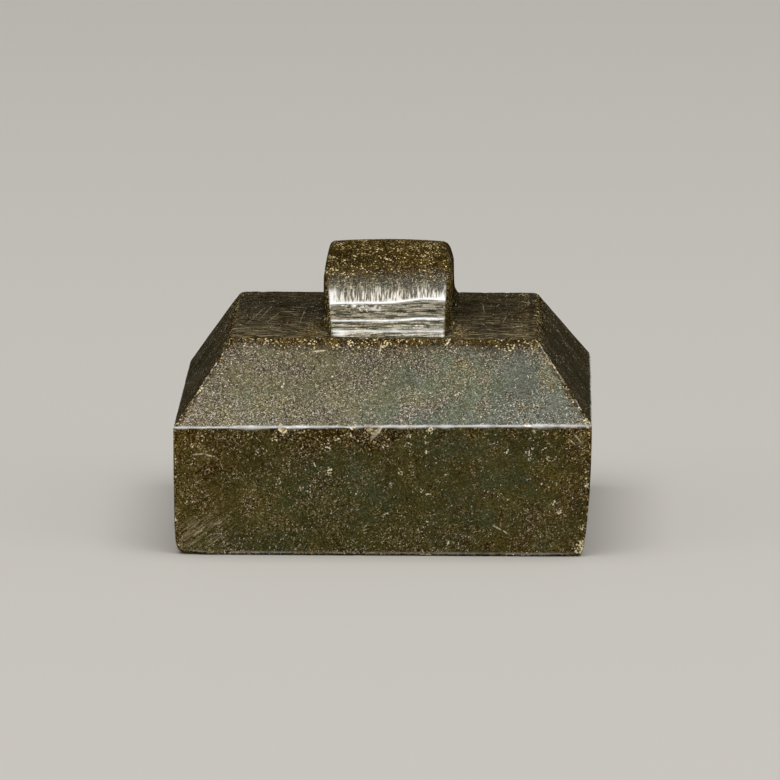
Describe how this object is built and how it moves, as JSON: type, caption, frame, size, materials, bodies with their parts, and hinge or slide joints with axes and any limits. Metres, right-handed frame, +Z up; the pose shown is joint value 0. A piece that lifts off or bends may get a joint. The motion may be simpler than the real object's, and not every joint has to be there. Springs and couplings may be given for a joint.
{
  "type": "seal stamp",
  "caption": "Square carved-stone seal stamp with upright walls, a four-sided sloping shoulder, a flat top and a pierced bridge knob for a cord.",
  "frame": {"origin": "on the table under the middle of the block, in the plane of the printing face", "axes": "+Z up from the printing face to the knob; +X to the right across the front; +Y from the front to the back, along the knob"},
  "size_m": [0.023, 0.023, 0.0158],
  "materials": {
    "stone": "satin"
  },
  "bodies": {
    "root": {"printing_face": "stone", "die_block": "stone", "shoulder": "stone", "bridge_knob": "stone"}
  },
  "joints": []
}
